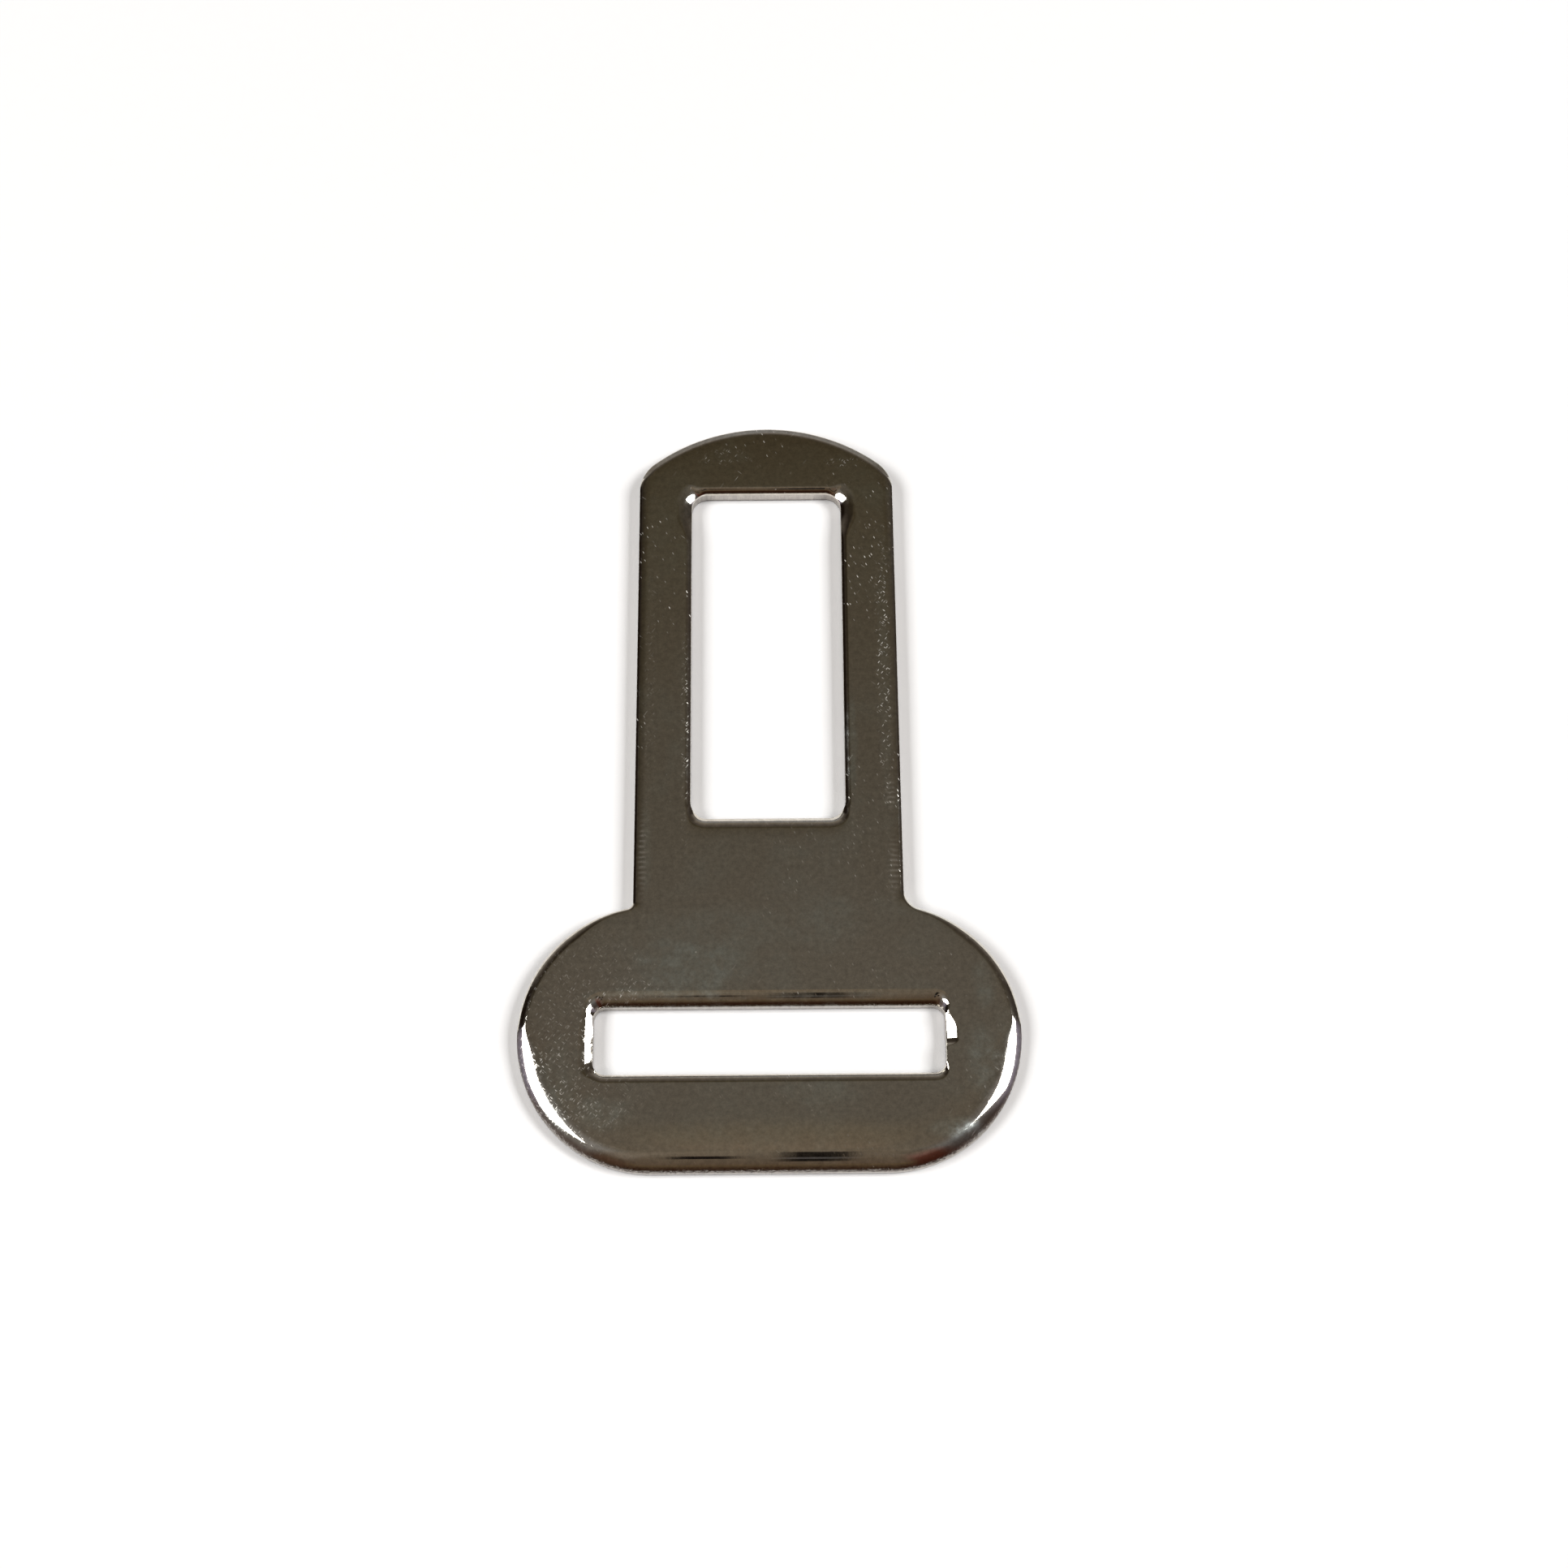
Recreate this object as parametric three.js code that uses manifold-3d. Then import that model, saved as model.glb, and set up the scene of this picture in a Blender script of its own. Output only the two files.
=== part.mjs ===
// Tongue plate of a small latch buckle, as sewn to the end of a 25 mm webbing strap.
// It is one steel pressing, plated bright: a flat blade with a latch window that pushes into
// the buckle, and an oval head with a slot that the webbing loops through. Nothing on it moves.
//
// Millimetres. The plate lies on its back: +Z is the polished front, +Y points to the tip of
// the blade, and the origin is the middle of the plate's length and width at the back face.
import * as THREE from 'three';
import { mergeVertices } from 'three/addons/utils/BufferGeometryUtils.js';
import Module from 'manifold-3d';

// Whole plate
const LENGTH = 64.5;
const THICKNESS = 1.8;

// Head: an oval with two straight sides and two round ends
const HEAD_WIDTH = 40.3;
const HEAD_HEIGHT = 21.6;

// Blade: it narrows a little towards the tip, so that it finds the buckle's mouth
const BLADE_WIDTH_AT_HEAD = 22.0;
const BLADE_WIDTH_AT_TIP = 21.7;
const TIP_ARC_RADIUS = 15.8;
const TIP_CORNER_RADIUS = 3.2;

// Inside corners where the blade meets the head; the right one is worn to a larger radius
const NECK_RADIUS_LEFT = 0.6;
const NECK_RADIUS_RIGHT = 1.7;

// Latch window, that the buckle's pawl drops into
const WINDOW_WIDTH = 12.8;
const WINDOW_LENGTH = 29.3;
const WINDOW_CORNER_RADIUS = 1.4;
const TIP_BAR = 6.1;

// Webbing slot
const SLOT_WIDTH = 28.2;
const SLOT_HEIGHT = 5.5;
const SLOT_CORNER_RADIUS = 1.0;
const WEBBING_BAR = 7.8;

// Edges: each front edge rolls over by a width across the face and a depth into the thickness
const OUTLINE_ROLL = { width: 0.6, depth: 0.5 };
const HEAD_ROLL = { width: 2.4, depth: 0.7 };
const WINDOW_ROLL = { width: 0.5, depth: 0.45 };
const SLOT_ROLL = { width: 1.0, depth: 0.8 };
const BACK_ROLL = { width: 0.15, depth: 0.15 };

// Facets: half the number of sides on each arc, and the number of steps in each rolled edge
const OUTLINE_ARC_STEPS = 6;
const HOLE_ARC_STEPS = 4;
const ROLL_STEPS = 5;

// Small lengths that keep one surface from lying exactly on another in the cuts
const WALL_CLEARANCE = 0.05;
const FACE_CLEARANCE = 0.02;

// Derived places
const HEAD_RADIUS = HEAD_HEIGHT / 2;
const HEAD_END_X = HEAD_WIDTH / 2 - HEAD_RADIUS;
const HEAD_Y = HEAD_RADIUS - LENGTH / 2;
const TIP_ARC_Y = LENGTH / 2 - TIP_ARC_RADIUS;
const WINDOW_Y = LENGTH / 2 - TIP_BAR - WINDOW_LENGTH / 2;
const SLOT_Y = WEBBING_BAR + SLOT_HEIGHT / 2 - LENGTH / 2;

const wasm = await Module();
wasm.setup();

function toSolid(geometry) {
  const positionOnly = new THREE.BufferGeometry();
  positionOnly.setAttribute('position', geometry.getAttribute('position'));
  positionOnly.setIndex(geometry.getIndex());
  const merged = mergeVertices(positionOnly, 1e-5);
  return new wasm.Manifold(new wasm.Mesh({
    numProp: 3,
    vertProperties: new Float32Array(merged.getAttribute('position').array),
    triVerts: new Uint32Array(merged.getIndex().array),
  }));
}

function toGeometry(solid) {
  const { numProp, vertProperties, triVerts } = solid.getMesh();
  const geometry = new THREE.BufferGeometry();
  geometry.setAttribute('position', new THREE.BufferAttribute(vertProperties, numProp));
  geometry.setIndex(new THREE.BufferAttribute(triVerts, 1));
  geometry.computeVertexNormals();
  return geometry;
}

// Circle that touches the blade's side and the outside of a head end, in the inside corner.
function neckFillet(radius) {
  const x = BLADE_WIDTH_AT_HEAD / 2 + radius;
  const y = HEAD_Y + Math.sqrt((HEAD_RADIUS + radius) ** 2 - (x - HEAD_END_X) ** 2);
  return { x, y, radius, angle: Math.atan2(y - HEAD_Y, x - HEAD_END_X) };
}

// Circle that touches the blade's side and the inside of the tip arc.
function tipCorner() {
  const radius = TIP_CORNER_RADIUS;
  const x = BLADE_WIDTH_AT_TIP / 2 - radius;
  const y = TIP_ARC_Y + Math.sqrt((TIP_ARC_RADIUS - radius) ** 2 - x ** 2);
  return { x, y, radius, angle: Math.atan2(y - TIP_ARC_Y, x) };
}

// The whole outline, counter-clockwise from the left end of the head's straight edge.
function plateOutline() {
  const right = neckFillet(NECK_RADIUS_RIGHT);
  const left = neckFillet(NECK_RADIUS_LEFT);
  const corner = tipCorner();
  const shape = new THREE.Shape();
  shape.moveTo(-HEAD_END_X, HEAD_Y - HEAD_RADIUS);
  shape.lineTo(HEAD_END_X, HEAD_Y - HEAD_RADIUS);
  shape.absarc(HEAD_END_X, HEAD_Y, HEAD_RADIUS, -Math.PI / 2, 0, false);
  shape.absarc(HEAD_END_X, HEAD_Y, HEAD_RADIUS, 0, right.angle, false);
  shape.absarc(right.x, right.y, right.radius, right.angle + Math.PI, Math.PI, true);
  shape.lineTo(BLADE_WIDTH_AT_TIP / 2, corner.y);
  shape.absarc(corner.x, corner.y, corner.radius, 0, corner.angle, false);
  shape.absarc(0, TIP_ARC_Y, TIP_ARC_RADIUS, corner.angle, Math.PI - corner.angle, false);
  shape.absarc(-corner.x, corner.y, corner.radius, Math.PI - corner.angle, Math.PI, false);
  shape.lineTo(-BLADE_WIDTH_AT_HEAD / 2, left.y);
  shape.absarc(-left.x, left.y, left.radius, 0, -left.angle, true);
  shape.absarc(-HEAD_END_X, HEAD_Y, HEAD_RADIUS, Math.PI - left.angle, Math.PI, false);
  shape.absarc(-HEAD_END_X, HEAD_Y, HEAD_RADIUS, Math.PI, 1.5 * Math.PI, false);
  return shape;
}

// The head's two ends and its straight edge, carried on past the tip. Rolled over, it rounds
// the webbing end broadly and leaves the blade alone.
function headEnvelope() {
  const radius = HEAD_RADIUS + WALL_CLEARANCE;
  const beyond = LENGTH;
  const shape = new THREE.Shape();
  shape.moveTo(HEAD_END_X + radius, beyond);
  shape.lineTo(-HEAD_END_X - radius, beyond);
  shape.absarc(-HEAD_END_X, HEAD_Y, radius, Math.PI, 1.5 * Math.PI, false);
  shape.absarc(HEAD_END_X, HEAD_Y, radius, 1.5 * Math.PI, 2 * Math.PI, false);
  return shape;
}

function roundedRectangle(centreY, width, height, radius) {
  const x = width / 2 - radius;
  const top = centreY + height / 2 - radius;
  const bottom = centreY - height / 2 + radius;
  const shape = new THREE.Shape();
  shape.absarc(x, bottom, radius, -Math.PI / 2, 0, false);
  shape.absarc(x, top, radius, 0, Math.PI / 2, false);
  shape.absarc(-x, top, radius, Math.PI / 2, Math.PI, false);
  shape.absarc(-x, bottom, radius, Math.PI, 1.5 * Math.PI, false);
  return shape;
}

function prism(shape, arcSteps, roll, bevelSize, bevelOffset, z) {
  const geometry = new THREE.ExtrudeGeometry(shape, {
    depth: THICKNESS,
    curveSegments: arcSteps,
    bevelEnabled: true,
    bevelSegments: ROLL_STEPS,
    bevelThickness: roll.depth,
    bevelSize,
    bevelOffset,
  });
  geometry.translate(0, 0, z);
  return toSolid(geometry);
}

// A solid that fills the shape and rolls inwards to the front or the back face.
function rolledToFront(shape, roll, lift = 0) {
  return prism(shape, OUTLINE_ARC_STEPS, roll, roll.width, -roll.width, lift - roll.depth);
}

function rolledToBack(shape, roll) {
  return prism(shape, OUTLINE_ARC_STEPS, roll, roll.width, -roll.width, roll.depth);
}

// A cutter for a hole: it flares outwards to the faces, so it leaves both edges rolled over.
function holeCutter(shape, frontRoll) {
  const flare = (roll, z) => prism(shape, HOLE_ARC_STEPS, roll, -roll.width, roll.width, z);
  const front = flare(frontRoll, FACE_CLEARANCE - frontRoll.depth);
  const back = flare(BACK_ROLL, BACK_ROLL.depth - FACE_CLEARANCE);
  return front.add(back);
}

function tonguePlate() {
  const outline = plateOutline();
  const window = roundedRectangle(WINDOW_Y, WINDOW_WIDTH, WINDOW_LENGTH, WINDOW_CORNER_RADIUS);
  const slot = roundedRectangle(SLOT_Y, SLOT_WIDTH, SLOT_HEIGHT, SLOT_CORNER_RADIUS);
  const solid = rolledToFront(outline, OUTLINE_ROLL)
    .intersect(rolledToBack(outline, BACK_ROLL))
    .intersect(rolledToFront(headEnvelope(), HEAD_ROLL, FACE_CLEARANCE))
    .subtract(holeCutter(window, WINDOW_ROLL))
    .subtract(holeCutter(slot, SLOT_ROLL));
  const brightNickel = new THREE.MeshStandardMaterial({
    color: 0xb8b2a7,
    metalness: 1.0,
    roughness: 0.12,
  });
  const mesh = new THREE.Mesh(toGeometry(solid), brightNickel);
  mesh.name = 'tongue_plate';
  return mesh;
}

const group = new THREE.Group();
group.add(tonguePlate());

export default group;
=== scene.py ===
"""Looks of a belt buckle's tongue plate: one steel pressing, barrelled and plated bright nickel.

The plate lies on its back on a pale table under soft studio light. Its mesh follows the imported
model's box and takes over from the faceted CAD node: the same outline, latch window and webbing
slot, with edges that roll over by different amounts round the plate, as the tumbling left them.
"""

import math
from collections import namedtuple

import bpy
import numpy as np
from mathutils import Matrix, Vector
from mathutils.geometry import delaunay_2d_cdt


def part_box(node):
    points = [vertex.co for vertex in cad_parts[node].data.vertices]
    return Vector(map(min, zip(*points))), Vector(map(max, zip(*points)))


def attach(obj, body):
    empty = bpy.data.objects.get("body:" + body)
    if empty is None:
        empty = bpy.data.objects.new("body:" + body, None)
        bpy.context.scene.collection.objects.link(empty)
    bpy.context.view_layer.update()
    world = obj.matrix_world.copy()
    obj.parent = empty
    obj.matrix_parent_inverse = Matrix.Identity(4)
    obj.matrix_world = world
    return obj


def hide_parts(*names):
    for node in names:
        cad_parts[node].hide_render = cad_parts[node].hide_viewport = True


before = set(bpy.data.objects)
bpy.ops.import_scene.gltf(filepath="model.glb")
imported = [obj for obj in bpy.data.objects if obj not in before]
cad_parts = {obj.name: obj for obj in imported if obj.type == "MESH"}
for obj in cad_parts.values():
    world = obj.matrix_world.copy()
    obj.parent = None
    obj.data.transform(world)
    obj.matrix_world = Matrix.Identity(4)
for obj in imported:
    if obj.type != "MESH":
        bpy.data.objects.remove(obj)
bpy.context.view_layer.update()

# Lengths of the plate are in millimetres here and turn into metres when the mesh is made.
MM = 0.001
plate_low, plate_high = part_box("tongue_plate")
LENGTH = (plate_high.y - plate_low.y) / MM
THICKNESS = (plate_high.z - plate_low.z) / MM
HEAD_WIDTH = (plate_high.x - plate_low.x) / MM

# Head: an oval with two straight sides and two round ends
HEAD_HEIGHT = 21.6
HEAD_RADIUS = HEAD_HEIGHT / 2
HEAD_END_X = HEAD_WIDTH / 2 - HEAD_RADIUS
HEAD_Y = HEAD_RADIUS - LENGTH / 2

# Blade
BLADE_WIDTH_AT_HEAD = 22.0
BLADE_WIDTH_AT_TIP = 21.7
TIP_ARC_RADIUS = 15.8
TIP_ARC_Y = LENGTH / 2 - TIP_ARC_RADIUS
TIP_CORNER_RADIUS = 3.2
NECK_RADIUS_LEFT = 0.6
NECK_RADIUS_RIGHT = 1.7

# Latch window and webbing slot
WINDOW_WIDTH = 12.8
WINDOW_LENGTH = 29.3
WINDOW_CORNER_RADIUS = 1.4
TIP_BAR = 6.1
WINDOW_Y = LENGTH / 2 - TIP_BAR - WINDOW_LENGTH / 2
SLOT_WIDTH = 28.2
SLOT_HEIGHT = 5.5
SLOT_CORNER_RADIUS = 1.0
WEBBING_BAR = 7.8
SLOT_Y = WEBBING_BAR + SLOT_HEIGHT / 2 - LENGTH / 2

# How an edge rolls over: it is this wide and deep, and curves like an ellipse that stops at a turn
# in degrees. Round it the face dishes, so wide from the wall and so deep there. A straight bevel,
# this wide, goes on at the same slope to the sheared wall.
Roll = namedtuple("Roll", "width depth turn dish_width dish_depth bevel", defaults=(0.04,))
BLADE_SIDE = Roll(0.32, 0.09, 40, 1.05, 0.085)
TIP = Roll(0.68, 0.054, 30, 1.4, 0.012, 0.45)
NECK = Roll(0.30, 0.14, 40, 1.2, 0.015)
SHOULDER = Roll(0.78, 0.33, 30, 1.6, 0.020)
HEAD_SIDE = Roll(2.40, 0.58, 70, 3.6, 0.020)
HEAD_FOOT = Roll(1.75, 0.70, 58, 4.6, 0.100)
WINDOW_SIDE = Roll(0.55, 0.17, 42, 0.9, 0.004)
WINDOW_TOP_CORNER = Roll(1.40, 0.40, 38, 1.6, 0.004)
WINDOW_TOP = Roll(0.50, 0.33, 40, 0.8, 0.004)
WINDOW_FOOT = Roll(1.00, 0.45, 35, 1.9, 0.090)
SLOT_LEFT = Roll(1.40, 0.34, 15, 1.5, 0.004)
SLOT_LEFT_UPPER = Roll(1.10, 0.30, 18, 1.3, 0.004)
SLOT_RIGHT = Roll(0.12, 0.008, 20, 0.6, 0.002)
SLOT_RIGHT_WORN = Roll(1.10, 0.056, 20, 1.3, 0.004, 0.78)
SLOT_TOP = Roll(1.25, 0.60, 55, 2.2, 0.020)
SLOT_FOOT = Roll(0.80, 0.45, 60, 1.4, 0.010)
BACK_ROLL = 0.15

# Where one roll turns into another, from the first value to the second. A turn goes by how
# squarely the edge faces up or down the plate: 0 to a side, 1 squarely, and below 0 a little the
# other way. A place is a distance along the plate.
TIP_TURN = (0.15, 0.65)
SHOULDER_TURN_LEFT = (-0.22, 0.10)
SHOULDER_TURN_RIGHT = (-0.18, 0.14)
HEAD_FOOT_TURN = (0.25, 0.95)
NECK_PLACE = (HEAD_Y + 8.5, HEAD_Y + 10.6)
WINDOW_TOP_Y = LENGTH / 2 - TIP_BAR
WINDOW_CORNER_PLACE = (WINDOW_TOP_Y - 4.4, WINDOW_TOP_Y - 1.9)
WINDOW_TOP_TURN = (0.75, 1.00)
WINDOW_FOOT_TURN = (0.30, 0.90)
SLOT_LEFT_PLACE = (SLOT_Y, SLOT_Y + 2.2)
SLOT_WORN_FOOT_PLACE = (SLOT_Y - 0.75, SLOT_Y - 0.35)
SLOT_WORN_TOP_PLACE = (SLOT_Y + 2.70, SLOT_Y + 0.70)
SLOT_TURN = (0.20, 0.95)

# Fineness of the mesh: most spacing along an edge, most turn between two points of an arc,
# rings in each part of an edge's profile, the outer share of a bevel where the shading turns to
# the wall, and the spacing and tolerance of the points that fill the faces
EDGE_SPACING = 0.25
EDGE_TURN = math.radians(3.5)
DISH_RINGS = 6
ROLL_RINGS = 14
BEVEL_RIM = 0.15
WALL_RINGS = 3
BACK_RINGS = 4
FILL_SPACING = 0.7
FILL_CLEARANCE = 0.4
FILL_TOLERANCE = 1e-6

# One place on an edge: where it is, and which way faces out of the metal
Station = namedtuple("Station", "x y out_x out_y")


def arc(x, y, radius, start, end, side=1):
    """Stations along an arc, without its last; side is -1 where the metal is outside the circle."""
    turn = abs(end - start)
    steps = max(2, math.ceil(turn / EDGE_TURN), math.ceil(turn * radius / EDGE_SPACING))
    for i in range(steps):
        angle = start + (end - start) * i / steps
        c, s = math.cos(angle), math.sin(angle)
        yield Station(x + radius * c, y + radius * s, side * c, side * s)


def line(x0, y0, x1, y1):
    """Stations along a straight edge with the metal on its left, without its last."""
    length = math.hypot(x1 - x0, y1 - y0)
    steps = max(1, math.ceil(length / EDGE_SPACING))
    for i in range(steps):
        x = x0 + (x1 - x0) * i / steps
        y = y0 + (y1 - y0) * i / steps
        yield Station(x, y, (y1 - y0) / length, (x0 - x1) / length)


def neck_fillet(radius):
    """Centre of the circle in the inside corner of blade and head, and its direction from the head."""
    x = BLADE_WIDTH_AT_HEAD / 2 + radius
    y = HEAD_Y + math.sqrt((HEAD_RADIUS + radius) ** 2 - (x - HEAD_END_X) ** 2)
    return x, y, math.atan2(y - HEAD_Y, x - HEAD_END_X)


def plate_outline():
    """The whole outline, counter-clockwise from the left end of the head's straight edge."""
    quarter, half = math.pi / 2, math.pi
    right_x, right_y, right_angle = neck_fillet(NECK_RADIUS_RIGHT)
    left_x, left_y, left_angle = neck_fillet(NECK_RADIUS_LEFT)
    corner_x = BLADE_WIDTH_AT_TIP / 2 - TIP_CORNER_RADIUS
    corner_y = TIP_ARC_Y + math.sqrt((TIP_ARC_RADIUS - TIP_CORNER_RADIUS) ** 2 - corner_x ** 2)
    corner_angle = math.atan2(corner_y - TIP_ARC_Y, corner_x)
    foot = HEAD_Y - HEAD_RADIUS
    blade, tip = BLADE_WIDTH_AT_HEAD / 2, BLADE_WIDTH_AT_TIP / 2
    return [
        *line(-HEAD_END_X, foot, HEAD_END_X, foot),
        *arc(HEAD_END_X, HEAD_Y, HEAD_RADIUS, -quarter, 0),
        *arc(HEAD_END_X, HEAD_Y, HEAD_RADIUS, 0, right_angle),
        *arc(right_x, right_y, NECK_RADIUS_RIGHT, right_angle + half, half, side=-1),
        *line(blade, right_y, tip, corner_y),
        *arc(corner_x, corner_y, TIP_CORNER_RADIUS, 0, corner_angle),
        *arc(0, TIP_ARC_Y, TIP_ARC_RADIUS, corner_angle, half - corner_angle),
        *arc(-corner_x, corner_y, TIP_CORNER_RADIUS, half - corner_angle, half),
        *line(-tip, corner_y, -blade, left_y),
        *arc(-left_x, left_y, NECK_RADIUS_LEFT, 0, -left_angle, side=-1),
        *arc(-HEAD_END_X, HEAD_Y, HEAD_RADIUS, half - left_angle, half),
        *arc(-HEAD_END_X, HEAD_Y, HEAD_RADIUS, half, half + quarter),
    ]


def hole_outline(centre_y, width, height, radius):
    """A hole with round corners, clockwise, so that the metal is on its left."""
    quarter, half = math.pi / 2, math.pi
    x = width / 2 - radius
    top = centre_y + height / 2 - radius
    foot = centre_y - height / 2 + radius
    return [
        *arc(x, top, radius, quarter, 0, side=-1),
        *line(x + radius, top, x + radius, foot),
        *arc(x, foot, radius, 0, -quarter, side=-1),
        *line(x, foot - radius, -x, foot - radius),
        *arc(-x, foot, radius, -quarter, -half, side=-1),
        *line(-x - radius, foot, -x - radius, top),
        *arc(-x, top, radius, half, quarter, side=-1),
        *line(-x, top + radius, x, top + radius),
    ]


def smooth(low, high, value):
    """0 at low, 1 at high, a smooth rise between them and no change beyond them."""
    t = min(1.0, max(0.0, (value - low) / (high - low)))
    return t * t * (3 - 2 * t)


def between(a, b, share):
    """One roll turning into another."""
    return Roll(*(p + (q - p) * share for p, q in zip(a, b)))


def outline_roll(s):
    """The roll of the outline at a station: the blade and the head differ, and each by direction."""
    end = TIP if s.y > 0 else NECK
    blade = between(BLADE_SIDE, end, smooth(*TIP_TURN, s.out_y))
    shoulder_turn = SHOULDER_TURN_LEFT if s.x < 0 else SHOULDER_TURN_RIGHT
    upper = between(HEAD_SIDE, SHOULDER, smooth(*shoulder_turn, s.out_y))
    head = between(upper, HEAD_FOOT, smooth(*HEAD_FOOT_TURN, -s.out_y))
    return between(head, blade, smooth(*NECK_PLACE, s.y))


def window_roll(s):
    """The roll of the latch window's edge at a station."""
    side = between(WINDOW_SIDE, WINDOW_TOP_CORNER, smooth(*WINDOW_CORNER_PLACE, s.y))
    upper = between(side, WINDOW_TOP, smooth(*WINDOW_TOP_TURN, -s.out_y))
    return between(upper, WINDOW_FOOT, smooth(*WINDOW_FOOT_TURN, s.out_y))


def slot_roll(s):
    """The roll of the webbing slot's edge at a station: its right end is worn in one place."""
    worn = smooth(*SLOT_WORN_FOOT_PLACE, s.y) * smooth(*SLOT_WORN_TOP_PLACE, s.y)
    right = between(SLOT_RIGHT, SLOT_RIGHT_WORN, worn)
    left = between(SLOT_LEFT, SLOT_LEFT_UPPER, smooth(*SLOT_LEFT_PLACE, s.y))
    side = right if s.x > 0 else left
    upper = between(side, SLOT_TOP, smooth(*SLOT_TURN, -s.out_y))
    return between(upper, SLOT_FOOT, smooth(*SLOT_TURN, s.out_y))


def profile(roll):
    """(inset from the wall, height) from the flat of the front face round to the back face."""
    points = []
    for i in range(DISH_RINGS):
        inset = roll.dish_width + (roll.width - roll.dish_width) * i / DISH_RINGS
        points.append((inset, dish(roll, inset)))
    turn = math.radians(roll.turn)
    curved = roll.width - roll.bevel
    for i in range(ROLL_RINGS + 1):
        angle = turn * i / ROLL_RINGS
        inset = roll.width - curved * math.sin(angle) / math.sin(turn)
        drop = roll.depth * (1 - math.cos(angle)) / (1 - math.cos(turn))
        points.append((inset, dish(roll, inset) - drop))
    bevel_slope = roll.depth / curved * math.sin(turn) * math.tan(turn) / (1 - math.cos(turn))
    for inset in (roll.bevel * BEVEL_RIM, 0.0):
        drop = roll.depth + (roll.bevel - inset) * bevel_slope
        points.append((inset, dish(roll, inset) - drop))
    wall_top = points[-1][1]
    for i in range(1, WALL_RINGS + 1):
        points.append((0.0, wall_top + (BACK_ROLL - wall_top) * i / WALL_RINGS))
    for i in range(1, BACK_RINGS + 1):
        angle = math.pi / 2 * i / BACK_RINGS
        points.append((BACK_ROLL * (1 - math.cos(angle)), BACK_ROLL * (1 - math.sin(angle))))
    return points


def dish(roll, inset):
    """Height of the front face where it dishes towards an edge."""
    share = max(0.0, 1 - inset / roll.dish_width)
    return THICKNESS - roll.dish_depth * share ** 2


def ring_mesh(stations, roll_of, first):
    """Rings of vertices round one edge, and the quads between them. Indices start at first."""
    profiles = [profile(roll_of(s)) for s in stations]
    count = len(stations)
    rings = len(profiles[0])
    vertices = [
        (s.x - s.out_x * p[k][0], s.y - s.out_y * p[k][0], p[k][1])
        for k in range(rings)
        for s, p in zip(stations, profiles)
    ]
    faces = []
    for k in range(rings - 1):
        inner, outer = first + k * count, first + (k + 1) * count
        for i in range(count):
            j = (i + 1) % count
            faces.append((inner + i, outer + i, outer + j, inner + j))
    return vertices, faces


def inside(points, loop):
    """Which of the points lie inside a closed loop."""
    x, y = points[:, :1], points[:, 1:]
    x0, y0 = loop[:, 0], loop[:, 1]
    x1, y1 = np.roll(x0, -1), np.roll(y0, -1)
    rise = np.where(y1 == y0, 1.0, y1 - y0)
    crosses = ((y0 > y) != (y1 > y)) & (x < x0 + (y - y0) * (x1 - x0) / rise)
    return crosses.sum(1) % 2 == 1


def fill_points(loops):
    """Evenly spread points in the face between the outer loop and the holes."""
    row_spacing = FILL_SPACING * math.sqrt(3) / 2
    rows = int(LENGTH / row_spacing)
    columns = int(HEAD_WIDTH / FILL_SPACING)
    grid = np.array([
        ((i + 0.5 * (j % 2)) * FILL_SPACING - HEAD_WIDTH / 2, j * row_spacing - LENGTH / 2)
        for j in range(rows + 1)
        for i in range(columns + 1)
    ])
    rim = np.concatenate(loops)
    gaps = np.array([np.hypot(*(rim - point).T).min() for point in grid])
    grid = grid[gaps > FILL_CLEARANCE]
    keep = inside(grid, loops[0])
    for hole in loops[1:]:
        keep &= ~inside(grid, hole)
    return grid[keep]


def fill_face(loops):
    """Triangles between an outer loop and holes. Returns the added points, and triangles whose
    indices count through the loops' own points first and the added points after them."""
    rim = np.concatenate(loops)
    added = fill_points(loops)
    points = np.concatenate([rim, added])
    edges = []
    start = 0
    for loop in loops:
        count = len(loop)
        edges += [(start + i, start + (i + 1) % count) for i in range(count)]
        start += count
    coordinates = [Vector(p) for p in points]
    whole_hull = 0
    filled = delaunay_2d_cdt(coordinates, edges, [], whole_hull, FILL_TOLERANCE, True)
    _, _, triangles, originals, _, _ = filled
    index = [ids[0] for ids in originals]
    triangles = np.array([[index[i] for i in t] for t in triangles])
    centres = points[triangles].mean(1)
    keep = inside(centres, loops[0])
    for hole in loops[1:]:
        keep &= ~inside(centres, hole)
    return added, triangles[keep].tolist()


def plate_mesh():
    """Vertices and faces of the whole plate, in millimetres."""
    edges = [
        (plate_outline(), outline_roll),
        (hole_outline(WINDOW_Y, WINDOW_WIDTH, WINDOW_LENGTH, WINDOW_CORNER_RADIUS), window_roll),
        (hole_outline(SLOT_Y, SLOT_WIDTH, SLOT_HEIGHT, SLOT_CORNER_RADIUS), slot_roll),
    ]
    vertices, faces = [], []
    front_rims, back_rims = [], []
    for stations, roll_of in edges:
        first = len(vertices)
        ring_vertices, ring_faces = ring_mesh(stations, roll_of, first)
        vertices += ring_vertices
        faces += ring_faces
        front_rims.append(range(first, first + len(stations)))
        back_rims.append(range(len(vertices) - len(stations), len(vertices)))
    for rims, height, flip in ((front_rims, THICKNESS, False), (back_rims, 0.0, True)):
        loops = [np.array([vertices[i][:2] for i in rim]) for rim in rims]
        added, triangles = fill_face(loops)
        index = [i for rim in rims for i in rim]
        index += range(len(vertices), len(vertices) + len(added))
        vertices += [(x, y, height) for x, y in added]
        for triangle in triangles:
            corners = [index[i] for i in triangle]
            faces.append(tuple(reversed(corners)) if flip else tuple(corners))
    return vertices, faces


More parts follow.
